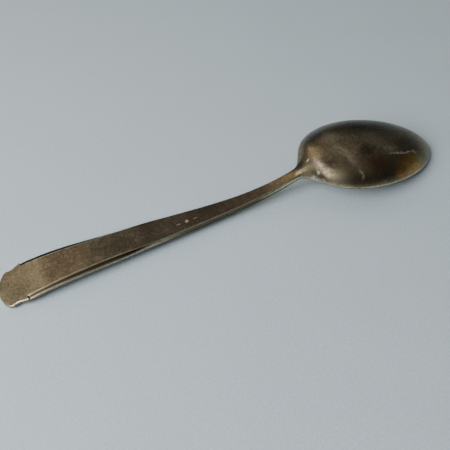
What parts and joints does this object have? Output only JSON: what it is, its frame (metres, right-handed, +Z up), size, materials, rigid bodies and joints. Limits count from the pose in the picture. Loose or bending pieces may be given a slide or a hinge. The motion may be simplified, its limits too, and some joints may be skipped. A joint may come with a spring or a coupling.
{
  "type": "teaspoon",
  "caption": "Silver teaspoon with a broad notched handle, a slim stem and an egg-shaped bowl, lying back up on its handle end and bowl tip.",
  "frame": {"origin": "on the table plane, at the middle of the spoon's length and width as it lies back up", "axes": "+X from the handle end to the bowl tip, +Y across the spoon, +Z up from the table"},
  "size_m": [0.14, 0.0294, 0.0155],
  "materials": {
    "silver": "worn, tarnished silver"
  },
  "bodies": {
    "root": {"bowl": "silver", "neck": "silver", "stem": "silver", "handle": "silver", "handle_end": "silver"}
  },
  "joints": []
}
